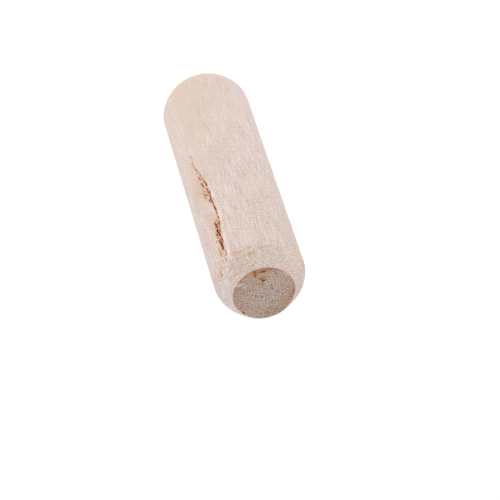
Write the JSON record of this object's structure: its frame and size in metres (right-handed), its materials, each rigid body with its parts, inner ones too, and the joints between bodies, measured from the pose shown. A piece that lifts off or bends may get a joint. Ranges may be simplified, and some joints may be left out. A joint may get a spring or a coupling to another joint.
{
  "type": "dowel pin",
  "caption": "Round wooden dowel pin with shallow, slowly turning flutes along its shank and a blunt taper at each end.",
  "frame": {"origin": "centre of the lower end face", "axes": "+Z along the pin's axis, from the lower end face to the upper one; +X and +Y are across the pin, and the split in the grain is on the side between +X and -Y, nearer the upper end"},
  "size_m": [0.008, 0.008, 0.03],
  "materials": {
    "wood": "bare, matte"
  },
  "bodies": {
    "root": {"dowel_pin": "wood"}
  },
  "joints": []
}
